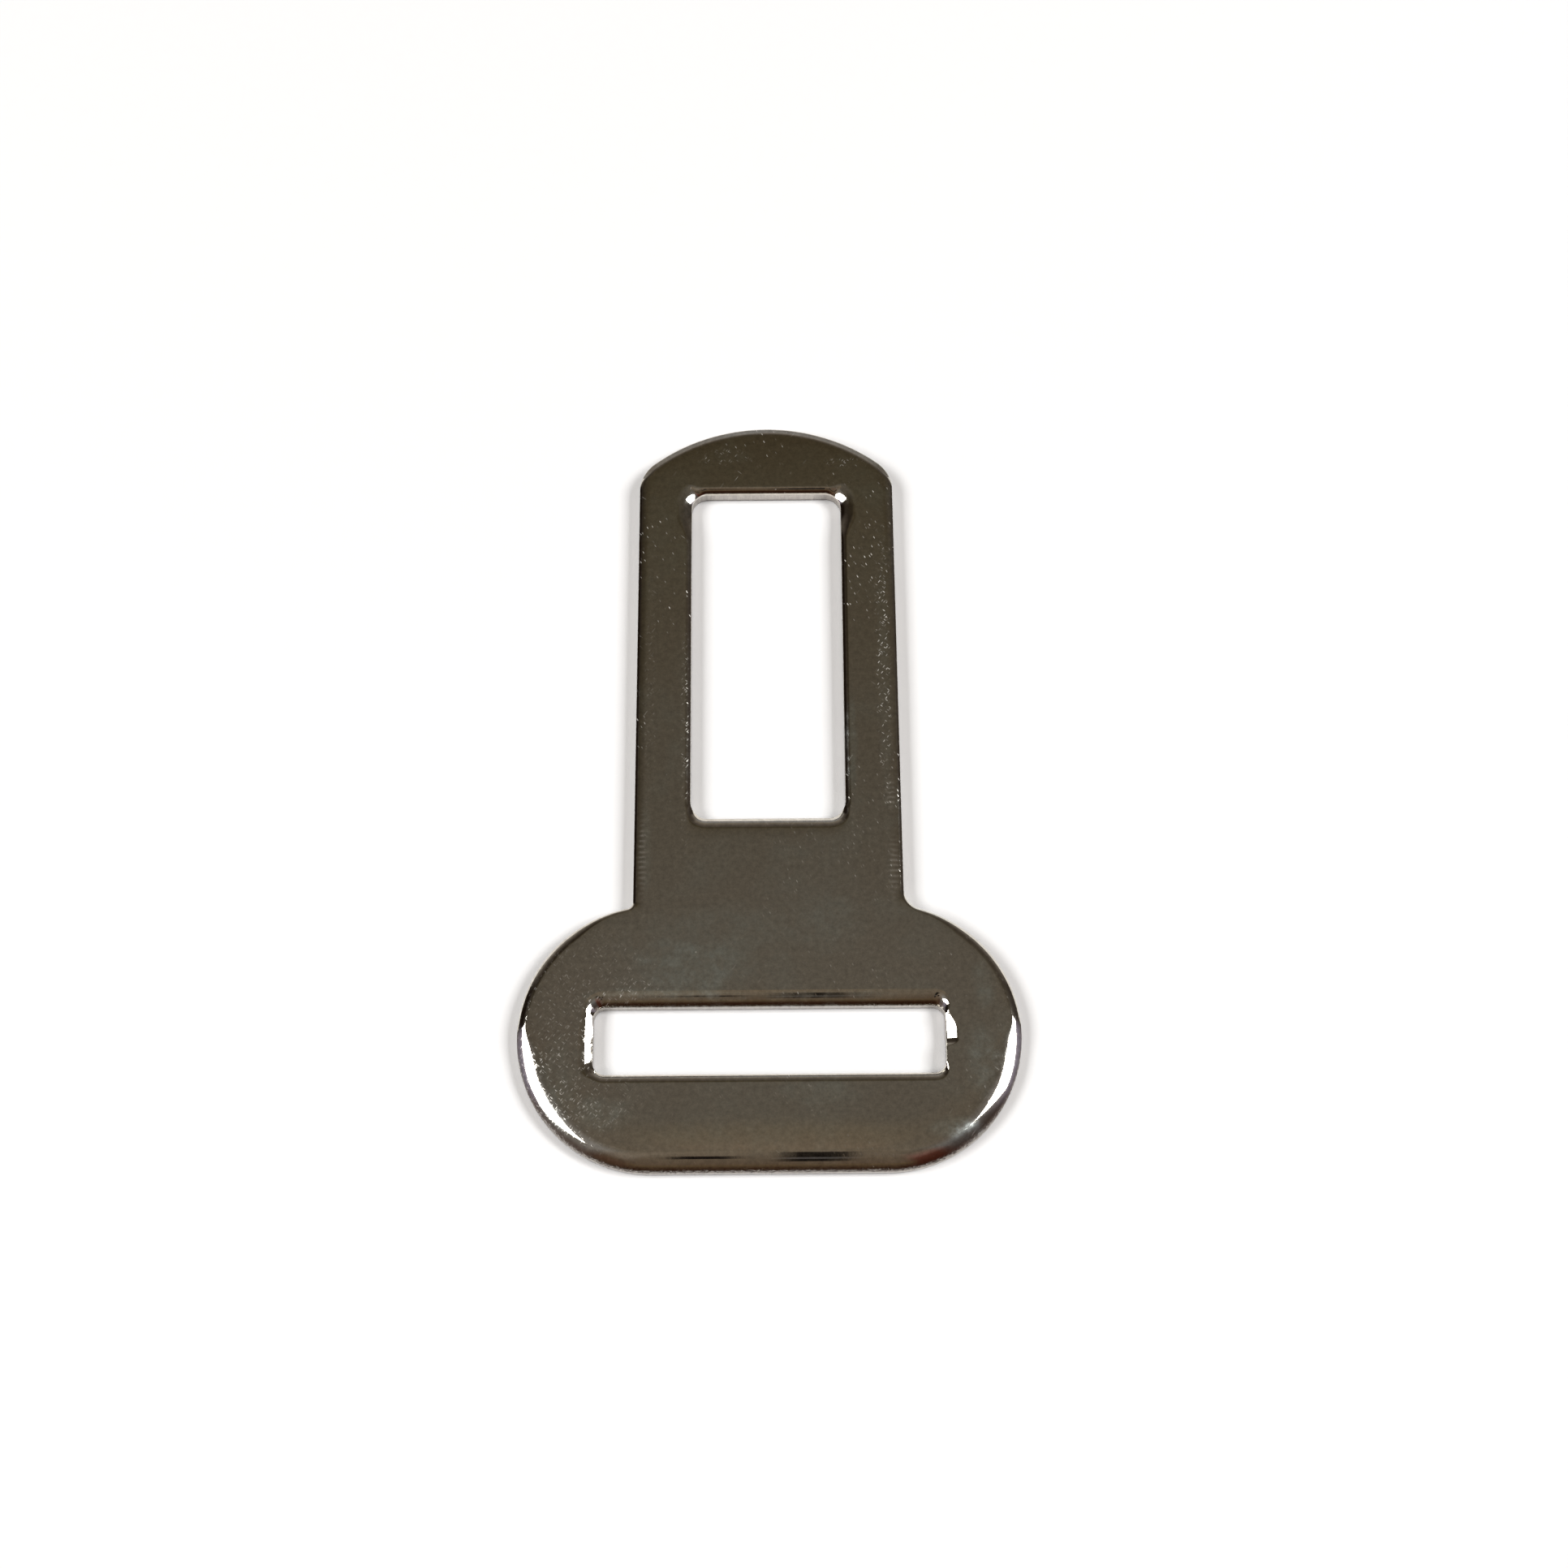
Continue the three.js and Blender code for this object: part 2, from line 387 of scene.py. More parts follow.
def make_plate(material):
    """The plate as one smooth-shaded Blender object in metres."""
    vertices, faces = plate_mesh()
    mesh = bpy.data.meshes.new("plated_tongue")
    mesh.from_pydata([(x * MM, y * MM, z * MM) for x, y, z in vertices], [], faces)
    mesh.validate()
    mesh.polygons.foreach_set("use_smooth", [True] * len(mesh.polygons))
    mesh.materials.append(material)
    plate = bpy.data.objects.new("plated_tongue", mesh)
    bpy.context.scene.collection.objects.link(plate)
    return plate


# Materials

# Colours of the plating: clean, hazy, in its marks, and on the sheared walls, where it is darkened
# partly by painted shade; and at the walls' foot, a near-black painted shade for the contact shadow on
# the table
PLATING = (0.660, 0.615, 0.540, 1)
HAZY_PLATING = (0.740, 0.795, 0.760, 1)
MARKED_PLATING = (0.820, 0.790, 0.730, 1)
# On the walls the sheared plating is duller, and its colour is darkened further by painted shade, for
# the shadowed table that the walls mirror.
SHEARED_PLATING_AND_SHADE = (0.380, 0.350, 0.325, 1)
# At the walls' foot the colour is painted shade: near black, for the contact shadow where the plate
# meets the table.
PAINTED_FOOT_SHADE = (0.100, 0.080, 0.070, 1)
# Heights on the wall, in millimetres, between which each of the last two begins
SHEARED_HEIGHTS = (1.35, 1.05)
# Between these heights the painted shade at the walls' foot fades in.
PAINTED_SHADE_HEIGHTS = (0.30, 0.12)

# Noise: its scale in features to the millimetre, its octaves, and how rough and distorted it is
Noise = namedtuple("Noise", "scale detail roughness distortion", defaults=(0.0,))
HAZE_NOISE = Noise(0.12, 3.0, 0.60, 0.5)
MOTTLE_NOISE = Noise(0.60, 6.0, 0.70)
RAGGED_NOISE = Noise(0.45, 5.0, 0.65)
STRAY_NOISE = Noise(0.16, 2.0, 0.55)
STRIPE_NOISE = Noise(4.5, 3.0, 0.60)
SPECKLE_NOISE = Noise(2.2, 5.0, 0.75)
PEEL_NOISE = Noise(1.4, 3.0, 0.60)
GRAIN_NOISE = Noise(5.0, 3.0, 0.60)
NOISE_MIDDLE = 0.5
# Values of a pattern between which it fades in
HAZE_RISE = (0.42, 0.70)
MOTTLE_RISE = (0.36, 0.66)
STRAY_RISE = (0.46, 0.64)
STRIPE_RISE = (0.35, 0.70)
BAR_RISE = (0.20, 0.90)
SPOT_RIM = (1.35, 0.45)

# Strokes: their angle in degrees, the cells to the millimetre across and along them, half their
# thickness in a cell, and the share of the cells that hold one
Strokes = namedtuple("Strokes", "angle across along thickness share")
TICKS_RISING = Strokes(35, 5.6, 1.8, 0.36, 0.50)
TICKS_FALLING = Strokes(-52, 6.0, 2.0, 0.36, 0.40)
STRAY_TICKS = Strokes(-28, 5.0, 1.6, 0.30, 0.20)
SCRATCHES = Strokes(14, 1.5, 0.28, 0.055, 0.07)
HAIRLINES_RISING = Strokes(35, 1.3, 0.14, 0.060, 0.25)
HAIRLINES_FALLING = Strokes(-50, 1.3, 0.15, 0.055, 0.22)
# Share of a stroke's thickness that is full
STROKE_CORE = 0.4
# Pits: cells to the millimetre, the share of them that hold one, and its rim and core in a cell
PIT_SCALE = 1.2
PIT_SHARE = 0.12
PIT_RIM = (0.12, 0.05)

# Strengths of the haze and the marks
HAZE_STRENGTH = 0.40
MOTTLE_STRENGTH = 0.65
PIT_STRENGTH = 0.6
SCRATCH_STRENGTH = 0.6
HAIRLINE_STRENGTH = 0.6
STRIPE_STRENGTH = 0.3
# Speckle: values of its noise, and the shades of the plating that they give
SPECKLE_VALUES = (0.30, 0.70)
SPECKLE_SHADES = (0.80, 1.20)

# Roughness of the clean plating, and what each finish adds to it. Marks are rougher towards the
# tip: by so much more, between two places along the plate.
CLEAN_ROUGHNESS = 0.045
HAZE_ROUGHNESS = 0.14
MARK_ROUGHNESS = 0.22
TIP_MARK_ROUGHNESS = 0.26
TIP_MARK_PLACE = (-6.0, 14.0)
SHEAR_ROUGHNESS = 0.10
SPECKLE_ROUGHNESS = 0.06
WALL_ROUGHNESS = 0.22

# Depths of the relief, in millimetres
PEEL_DEPTH = 0.0008
GRAIN_DEPTH = 0.0003
CROWDED_GRAIN_DEPTH = 0.0003
MARK_DEPTH = 0.0006
STRIPE_DEPTH = 0.02
# Share of the stripes' scale that is left from front to back, so that they are drawn out that way
STRIPE_SQUEEZE = 0.08

# Dull places that handling left: middle, half width and half height in millimetres, and strength
SMEARS = (
    ((-6.2, -15.6), (5.2, 2.6), 0.95),
    ((-3.0, -12.8), (7.5, 2.2), 0.50),
    ((4.5, -12.0), (3.2, 2.6), 0.55),
    ((6.95, 3.0), (0.55, 5.0), 0.80),
    ((16.9, -23.4), (1.4, 3.0), 0.90),
    ((15.0, -29.0), (2.2, 1.0), 1.00),
    ((-10.0, -5.6), (0.5, 4.0), 0.50),
    ((9.8, 9.0), (0.5, 14.0), 0.40),
    ((-2.9, 29.6), (1.6, 0.8), 0.45),
    ((-13.4, -27.6), (2.6, 1.4), 0.80),
    ((4.0, -26.0), (3.5, 1.2), 0.60),
    ((-8.2, -18.2), (6.0, 0.8), 1.00),
    ((-16.8, -26.0), (1.6, 4.0), 0.60),
    ((-7.0, -18.7), (8.0, 0.7), 1.00),
    ((5.0, -18.6), (8.0, 0.8), 0.80),
    ((17.2, -17.4), (0.9, 2.2), 0.70),
)
# Places that the ticks of the tumbling crowd: middle, half width and half height, and how many
CROWDS = (
    ((-15.2, -22.0), (6.2, 9.5), 1.0),
    ((-13.5, -15.5), (4.0, 3.0), 0.9),
    ((-12.0, -17.6), (3.6, 1.6), 1.0),
    ((9.7, 9.0), (0.7, 16.0), 0.9),
    ((-9.8, 6.0), (0.6, 16.0), 0.5),
    ((-6.9, 2.0), (0.4, 12.0), 0.8),
    ((-3.6, 29.4), (2.6, 0.9), 0.6),
    ((6.9, 28.9), (2.2, 0.5), 0.7),
    ((18.0, -18.0), (1.4, 5.0), 0.3),
    ((8.0, -15.0), (4.5, 3.0), 0.4),
)
# Bars that the shear left along the blade's edges, near the neck, given in the same way
SHEAR_MARKS = (
    ((10.2, -7.6), (0.50, 3.0), 1.0),
    ((10.1, -1.2), (0.40, 1.4), 1.0),
    ((-10.3, -6.4), (0.35, 4.0), 1.0),
)
# The bars' spacing, the wave texture's own spacing at scale 1, and how uneven they are
BAR_SPACING = 0.45
WAVE_SPACING = 0.314
BAR_DISTORTION = 2.5
BAR_DETAIL_SCALE = 1.2

# What the plating is like at a place, each as a share from 0 to 1; the foot's share says where painted
# shade darkens the foot of the walls
Finish = namedtuple("Finish", "haze crowd marks shear stripes wall wall_foot speckle")


def add(tree, kind, inputs=None, **settings):
    """Adds a node, with its settings, and its inputs as numbers, colours or other nodes' outputs."""
    node = tree.nodes.new(kind)
    for name, value in settings.items():
        setattr(node, name, value)
    for name, value in (inputs or {}).items():
        socket = node.inputs[name]
        if isinstance(value, bpy.types.NodeSocket):
            tree.links.new(value, socket)
        else:
            socket.default_value = value
    return node


def mix_colour(tree, share, a, b):
    """The colour a turning into b."""
    return add(tree, "ShaderNodeMix", {0: share, 6: a, 7: b}, data_type="RGBA").outputs[2]


def maths(tree, operation, a, b=0.0, clamp=False):
    """The result of one sum on numbers or sockets."""
    node = add(tree, "ShaderNodeMath", {0: a, 1: b}, operation=operation, use_clamp=clamp)
    return node.outputs[0]


def either(tree, *values):
    """The largest of several numbers."""
    largest = values[0]
    for value in values[1:]:
        largest = maths(tree, "MAXIMUM", largest, value)
    return largest


def both(tree, *values):
    """The product of several numbers."""
    product = values[0]
    for value in values[1:]:
        product = maths(tree, "MULTIPLY", product, value)
    return product


def scaled(tree, value, factor, start):
    """A number times a factor, counted from a start."""
    return maths(tree, "ADD", both(tree, value, factor), start)


def rise(tree, value, low, high):
    """0 where value is below low, 1 above high (or the other way round), smooth between."""
    inputs = {"Value": value, "From Min": low, "From Max": high}
    node = add(tree, "ShaderNodeMapRange", inputs, interpolation_type="SMOOTHSTEP")
    return node.outputs["Result"]


def noise(tree, place, kind):
    """Noise of one kind, at a place."""
    inputs = {"Vector": place, "Scale": kind.scale, "Detail": kind.detail}
    inputs["Roughness"] = kind.roughness
    inputs["Distortion"] = kind.distortion
    return add(tree, "ShaderNodeTexNoise", inputs).outputs["Fac"]


def voronoi(tree, place, scale, dimensions):
    """Round cells: the distance from the middle of the nearest, and two chances drawn for it."""
    inputs = {"Vector": place, "Scale": scale}
    cells = add(tree, "ShaderNodeTexVoronoi", inputs, voronoi_dimensions=dimensions)
    chance = add(tree, "ShaderNodeSeparateColor", {"Color": cells.outputs["Color"]})
    return cells.outputs["Distance"], chance.outputs["Red"], chance.outputs["Green"]


def strokes(tree, place, kind):
    """Short scratches: stretched cells, of which a share show, each a lens-shaped stroke."""
    rotation = (0, 0, math.radians(kind.angle))
    turned = add(tree, "ShaderNodeMapping", {"Vector": place, "Rotation": rotation}).outputs[0]
    size = {"Vector": turned, "Scale": (kind.across, kind.along, 0)}
    stretched = add(tree, "ShaderNodeMapping", size).outputs[0]
    distance, chance, strength = voronoi(tree, stretched, 1.0, "2D")
    shape = rise(tree, distance, kind.thickness, kind.thickness * STROKE_CORE)
    chosen = maths(tree, "GREATER_THAN", chance, 1 - kind.share)
    return both(tree, shape, both(tree, chosen, strength))


def spot(tree, place, middle, half_size, ragged):
    """1 in the middle of an oval place and 0 outside it, with a ragged rim."""
    offset = {"Vector": place, "Location": tuple(-m / h for m, h in zip(middle, half_size)) + (0,)}
    offset["Scale"] = (1 / half_size[0], 1 / half_size[1], 0)
    flat = add(tree, "ShaderNodeMapping", offset).outputs[0]
    away = add(tree, "ShaderNodeVectorMath", {0: flat}, operation="LENGTH").outputs["Value"]
    return rise(tree, maths(tree, "ADD", away, ragged), *SPOT_RIM)


def spots(tree, place, table, ragged):
    """The strongest of a table of oval places."""
    strongest = 0.0
    for middle, half_size, strength in table:
        oval = spot(tree, place, middle, half_size, ragged)
        strongest = either(tree, strongest, both(tree, oval, strength))
    return strongest


def haze_at(tree, place, ragged):
    """Wide smudges and placed smears, both broken up by a finer mottle."""
    smudges = rise(tree, noise(tree, place, HAZE_NOISE), *HAZE_RISE)
    smudges = both(tree, smudges, HAZE_STRENGTH)
    haze = either(tree, smudges, spots(tree, place, SMEARS, ragged))
    mottle = rise(tree, noise(tree, place, MOTTLE_NOISE), *MOTTLE_RISE)
    return both(tree, haze, scaled(tree, mottle, MOTTLE_STRENGTH, 1 - MOTTLE_STRENGTH))


def marks_at(tree, place, crowd):
    """Pits, ticks from the tumbling, scratches and hairlines."""
    distance, chance, _ = voronoi(tree, place, PIT_SCALE, "3D")
    chosen = maths(tree, "GREATER_THAN", chance, 1 - PIT_SHARE)
    pits = both(tree, rise(tree, distance, *PIT_RIM), chosen, PIT_STRENGTH)
    stray = rise(tree, noise(tree, place, STRAY_NOISE), *STRAY_RISE)
    marks = pits
    for kind, strength in (
        (TICKS_RISING, crowd),
        (TICKS_FALLING, crowd),
        (STRAY_TICKS, stray),
        (SCRATCHES, SCRATCH_STRENGTH),
        (HAIRLINES_RISING, HAIRLINE_STRENGTH),
        (HAIRLINES_FALLING, HAIRLINE_STRENGTH),
    ):
        marks = either(tree, marks, both(tree, strokes(tree, place, kind), strength))
    return marks


def shear_at(tree, place, ragged):
    """Bars that the shear left along the edges of the blade."""
    wave = {"Vector": place, "Scale": WAVE_SPACING / BAR_SPACING}
    wave["Distortion"] = BAR_DISTORTION
    wave["Detail Scale"] = BAR_DETAIL_SCALE
    bars = add(tree, "ShaderNodeTexWave", wave, bands_direction="Y").outputs["Fac"]
    return both(tree, spots(tree, place, SHEAR_MARKS, ragged), rise(tree, bars, *BAR_RISE))


def finish_at(tree, place, height):
    """The finish of the plating at a place, and at a height on the wall."""
    ragged = maths(tree, "SUBTRACT", noise(tree, place, RAGGED_NOISE), NOISE_MIDDLE)
    crowd = spots(tree, place, CROWDS, ragged)
    squeeze = {"Vector": place, "Scale": (1, 1, STRIPE_SQUEEZE)}
    stretched = add(tree, "ShaderNodeMapping", squeeze).outputs[0]
    return Finish(
        haze=haze_at(tree, place, ragged),
        crowd=crowd,
        marks=marks_at(tree, place, crowd),
        shear=shear_at(tree, place, ragged),
        stripes=rise(tree, noise(tree, stretched, STRIPE_NOISE), *STRIPE_RISE),
        wall=rise(tree, height, *SHEARED_HEIGHTS),
        # Painted shade: where the foot of the walls turns near black, for the contact shadow on the
        # table
        wall_foot=rise(tree, height, *PAINTED_SHADE_HEIGHTS),
        speckle=noise(tree, place, SPECKLE_NOISE),
    )


def tone_of(tree, finish):
    """The plating's colour: speckled, paler in haze and marks, darker on the sheared walls partly by
    painted shade, and near black at their foot, which is painted shade for the contact shadow on the
    table.
    """
    speckles = {"Value": finish.speckle}
    speckles["From Min"], speckles["From Max"] = SPECKLE_VALUES
    speckles["To Min"], speckles["To Max"] = SPECKLE_SHADES
    shade = add(tree, "ShaderNodeMapRange", speckles).outputs["Result"]
    tone = mix_colour(tree, finish.haze, PLATING, HAZY_PLATING)
    tone = mix_colour(tree, either(tree, finish.marks, finish.shear), tone, MARKED_PLATING)
    tone = add(tree, "ShaderNodeVectorMath", {0: tone, "Scale": shade}, operation="SCALE").outputs[0]
    stripes = scaled(tree, finish.stripes, STRIPE_STRENGTH, 1 - STRIPE_STRENGTH)
    # The walls darken, partly for their duller sheared finish and partly as painted shade for the
    # shadowed table they mirror.
    tone = mix_colour(tree, both(tree, finish.wall, stripes), tone, SHEARED_PLATING_AND_SHADE)
    # Painted shade: the foot of the walls turns near black, for the contact shadow on the table.
    return mix_colour(tree, finish.wall_foot, tone, PAINTED_FOOT_SHADE)


def roughness_of(tree, finish, along):
    """The plating's roughness, by its finish and by the place along the plate."""
    towards_tip = rise(tree, along, *TIP_MARK_PLACE)
    coarse = scaled(tree, towards_tip, TIP_MARK_ROUGHNESS, MARK_ROUGHNESS)
    uneven = maths(tree, "SUBTRACT", finish.speckle, NOISE_MIDDLE)
    roughness = scaled(tree, finish.haze, HAZE_ROUGHNESS, CLEAN_ROUGHNESS)
    roughness = maths(tree, "ADD", roughness, both(tree, finish.marks, coarse))
    roughness = maths(tree, "ADD", roughness, both(tree, finish.shear, SHEAR_ROUGHNESS))
    roughness = maths(tree, "ADD", roughness, both(tree, uneven, SPECKLE_ROUGHNESS))
    wall = both(tree, finish.wall, WALL_ROUGHNESS)
    return maths(tree, "ADD", roughness, wall, clamp=True)


def relief_of(tree, finish, place):
    """The height of the surface in millimetres: a faint peel and grain, marks, and wall stripes."""
    peel = both(tree, noise(tree, place, PEEL_NOISE), PEEL_DEPTH)
    grain_depth = scaled(tree, finish.crowd, CROWDED_GRAIN_DEPTH, GRAIN_DEPTH)
    grain = both(tree, noise(tree, place, GRAIN_NOISE), grain_depth)
    relief = maths(tree, "ADD", peel, grain)
    relief = maths(tree, "SUBTRACT", relief, both(tree, finish.marks, MARK_DEPTH))
    return maths(tree, "ADD", relief, both(tree, finish.wall, finish.stripes, STRIPE_DEPTH))


def bright_nickel():
    """Plated steel: a mirror with pits, tumbling ticks, scratches and a thin haze from handling."""
    material = bpy.data.materials.new("bright_nickel")
    material.use_nodes = True
    tree = material.node_tree
    tree.nodes.clear()
    object_place = add(tree, "ShaderNodeTexCoord").outputs["Object"]
    to_mm = {0: object_place, "Scale": 1 / MM}
    place = add(tree, "ShaderNodeVectorMath", to_mm, operation="SCALE").outputs[0]
    axes = add(tree, "ShaderNodeSeparateXYZ", {0: place})
    finish = finish_at(tree, place, axes.outputs["Z"])
    relief = relief_of(tree, finish, place)
    bump = add(tree, "ShaderNodeBump", {"Height": relief, "Distance": MM, "Strength": 1.0})
    inputs = {"Metallic": 1.0, "Normal": bump.outputs[0]}
    inputs["Base Color"] = tone_of(tree, finish)
    inputs["Roughness"] = roughness_of(tree, finish, axes.outputs["Y"])
    shader = add(tree, "ShaderNodeBsdfPrincipled", inputs)
    add(tree, "ShaderNodeOutputMaterial", {"Surface": shader.outputs[0]})
    return material


# Stage

FLOOR_SIZE = 8.0
FLOOR_GAP = 0.02 * MM
FLOOR_COLOUR = (0.860, 0.858, 0.852)
FLOOR_SHADE = 0.985
FLOOR_ROUGHNESS = 0.7
# In features to the metre
FLOOR_NOISE = Noise(900.0, 3.0, 0.60)


def make_floor():
    """A pale matt table top."""
    material = bpy.data.materials.new("pale_table")
    material.use_nodes = True
    tree = material.node_tree
    shader = tree.nodes["Principled BSDF"]
    place = add(tree, "ShaderNodeTexCoord").outputs["Object"]
    shaded = tuple(c * FLOOR_SHADE for c in FLOOR_COLOUR)
    tone = mix_colour(tree, noise(tree, place, FLOOR_NOISE), (*FLOOR_COLOUR, 1), (*shaded, 1))
    tree.links.new(tone, shader.inputs["Base Color"])
    shader.inputs["Roughness"].default_value = FLOOR_ROUGHNESS
    half = FLOOR_SIZE / 2
    mesh = bpy.data.meshes.new("table_top")
    corners = [(-half, -half, 0), (half, -half, 0), (half, half, 0), (-half, half, 0)]
    mesh.from_pydata(corners, [], [(0, 1, 2, 3)])
    mesh.materials.append(material)
    floor = bpy.data.objects.new("table_top", mesh)
    floor.location.z = plate_low.z - FLOOR_GAP
    bpy.context.scene.collection.objects.link(floor)


# Lights overhead, one at each side, in metres: how near and how far each reaches to its side,
# where it starts and ends along the plate, and how high it hangs
SOFTBOX_NEAR_X = 0.55
SOFTBOX_FAR_X = 1.25
SOFTBOX_LEFT_Y = (-0.53, 0.275)
SOFTBOX_RIGHT_Y = (-0.25, 0.275)
SOFTBOX_HEIGHT = 1.0
SOFTBOX_WATTS = 17.0


def make_softboxes():
    """Two soft rectangular lights over the table, one at each side."""
    for name, side, (front_y, back_y) in (
        ("softbox_left", -1, SOFTBOX_LEFT_Y),
        ("softbox_right", 1, SOFTBOX_RIGHT_Y),
    ):
        light = bpy.data.lights.new(name, "AREA")
        light.shape = "RECTANGLE"
        light.size = SOFTBOX_FAR_X - SOFTBOX_NEAR_X
        light.size_y = back_y - front_y
        light.energy = SOFTBOX_WATTS
        lamp = bpy.data.objects.new(name, light)
        middle = (SOFTBOX_FAR_X + SOFTBOX_NEAR_X) / 2
        lamp.location = (side * middle, (back_y + front_y) / 2, SOFTBOX_HEIGHT)
        bpy.context.scene.collection.objects.link(lamp)


# The room's colour by elevation, as a share of a right angle, round the plate: beyond its tip,
# beyond and towards each side, to either side, and round to the side of the webbing end
ZENITH = (1.00, (0.185, 0.150, 0.112))
ROOM_FAR = (
    (0.00, (0.290, 0.295, 0.320)),
    (0.11, (0.255, 0.245, 0.240)),
    (0.22, (0.205, 0.180, 0.150)),
    (0.33, (0.150, 0.130, 0.110)),
    (0.44, (0.105, 0.088, 0.075)),
    (0.56, (0.082, 0.070, 0.054)),
    (0.70, (0.064, 0.051, 0.031)),
    (0.72, (0.086, 0.073, 0.050)),
    (0.77, (0.105, 0.091, 0.071)),
    (0.80, (0.113, 0.100, 0.081)),
    (0.84, (0.133, 0.119, 0.100)),
    (0.885, (0.131, 0.117, 0.098)),
    (0.905, (0.165, 0.138, 0.102)),
    (0.93, (0.192, 0.153, 0.114)),
    ZENITH,
)
ROOM_FAR_LEFT = (
    (0.00, (0.260, 0.250, 0.240)),
    (0.15, (0.220, 0.200, 0.180)),
    (0.20, (0.110, 0.095, 0.082)),
    (0.35, (0.070, 0.058, 0.048)),
    (0.52, (0.031, 0.024, 0.018)),
    (0.65, (0.036, 0.028, 0.018)),
    (0.72, (0.060, 0.050, 0.034)),
    (0.80, (0.105, 0.091, 0.074)),
    (0.90, (0.145, 0.125, 0.100)),
    ZENITH,
)
ROOM_FAR_RIGHT = (
    (0.00, (0.230, 0.215, 0.200)),
    (0.15, (0.150, 0.132, 0.115)),
    (0.30, (0.080, 0.066, 0.054)),
    (0.50, (0.061, 0.050, 0.039)),
    (0.65, (0.074, 0.062, 0.046)),
    (0.72, (0.088, 0.075, 0.057)),
    (0.80, (0.118, 0.102, 0.083)),
    (0.90, (0.145, 0.125, 0.100)),
    ZENITH,
)
ROOM_LEFT_CORNER = (
    (0.00, (0.020, 0.014, 0.010)),
    (0.35, (0.010, 0.006, 0.004)),
    (0.50, (0.040, 0.032, 0.025)),
    (0.70, (0.090, 0.078, 0.062)),
    (0.84, (0.125, 0.110, 0.090)),
    (0.90, (0.140, 0.122, 0.098)),
    ZENITH,
)
ROOM_RIGHT_CORNER = (
    (0.00, (0.060, 0.050, 0.040)),
    (0.20, (0.050, 0.040, 0.034)),
    (0.40, (0.065, 0.055, 0.046)),
    (0.55, (0.090, 0.077, 0.065)),
    (0.70, (0.105, 0.092, 0.075)),
    (0.84, (0.125, 0.110, 0.090)),
    (0.90, (0.140, 0.122, 0.098)),
    ZENITH,
)
ROOM_SIDE = (
    (0.00, (0.270, 0.250, 0.270)),
    (0.22, (0.220, 0.195, 0.240)),
    (0.32, (0.270, 0.240, 0.310)),
    (0.42, (0.450, 0.410, 0.500)),
    (0.60, (0.420, 0.400, 0.430)),
    (0.70, (0.230, 0.210, 0.205)),
    (0.78, (0.160, 0.145, 0.130)),
    (0.88, (0.140, 0.122, 0.100)),
    ZENITH,
)
ROOM_NEAR_LEFT_CORNER = (
    (0.00, (0.240, 0.210, 0.210)),
    (0.10, (0.165, 0.124, 0.110)),
    (0.29, (0.125, 0.100, 0.092)),
    (0.50, (0.220, 0.205, 0.195)),
    (0.70, (0.270, 0.260, 0.255)),
    (0.85, (0.190, 0.170, 0.145)),
    ZENITH,
)
ROOM_NEAR_RIGHT_CORNER = (
    (0.00, (0.240, 0.210, 0.205)),
    (0.10, (0.180, 0.145, 0.135)),
    (0.29, (0.060, 0.044, 0.039)),
    (0.50, (0.090, 0.076, 0.073)),
    (0.62, (0.144, 0.137, 0.137)),
    (0.72, (0.180, 0.170, 0.162)),
    (0.82, (0.150, 0.130, 0.110)),
    ZENITH,
)
ROOM_NEAR_LEFT = (
    (0.00, (0.060, 0.035, 0.020)),
    (0.31, (0.085, 0.048, 0.031)),
    (0.42, (0.100, 0.060, 0.041)),
    (0.52, (0.115, 0.081, 0.057)),
    (0.64, (0.190, 0.155, 0.127)),
    (0.78, (0.235, 0.200, 0.165)),
    ZENITH,
)
ROOM_NEAR_RIGHT = (
    (0.00, (0.050, 0.015, 0.010)),
    (0.31, (0.062, 0.018, 0.011)),
    (0.42, (0.075, 0.025, 0.017)),
    (0.52, (0.104, 0.036, 0.025)),
    (0.64, (0.200, 0.108, 0.090)),
    (0.74, (0.180, 0.127, 0.100)),
    (0.82, (0.140, 0.114, 0.088)),
    ZENITH,
)
ROOM_NEAR = (
    (0.00, (0.025, 0.010, 0.005)),
    (0.13, (0.030, 0.012, 0.006)),
    (0.23, (0.042, 0.019, 0.010)),
    (0.32, (0.080, 0.050, 0.030)),
    (0.40, (0.125, 0.087, 0.051)),
    (0.48, (0.128, 0.092, 0.066)),
    (0.66, (0.145, 0.112, 0.082)),
    (0.87, (0.178, 0.145, 0.112)),
    ZENITH,
)
# How far beyond the plate each takes over from the one before, from -1 straight behind the webbing
# end to 1 straight beyond the tip, and its colours on the left and on the right
ROOM = (
    (-0.985, -0.930, ROOM_NEAR_LEFT, ROOM_NEAR_RIGHT),
    (-0.860, -0.740, ROOM_NEAR_LEFT_CORNER, ROOM_NEAR_RIGHT_CORNER),
    (-0.450, -0.100, ROOM_SIDE, ROOM_SIDE),
    (0.050, 0.300, ROOM_LEFT_CORNER, ROOM_RIGHT_CORNER),
    (0.500, 0.680, ROOM_FAR_LEFT, ROOM_FAR_RIGHT),
    (0.860, 0.960, ROOM_FAR, ROOM_FAR),
)
# How far to the left and to the right one side's colours take over from the other's
ROOM_SIDES = (-0.2, 0.2)
# The least level part of a direction, so that straight up divides by no zero
LEAST_LEVEL = 0.001


def ramp(tree, value, stops):
    """A colour ramp with these stops."""
    node = add(tree, "ShaderNodeValToRGB", {0: value})
    elements = node.color_ramp.elements
    while len(elements) < len(stops):
        elements.new(1.0)
    for element, (position, colour) in zip(elements, stops):
        element.position = position
        element.color = (*colour, 1)
    return node.outputs["Color"]


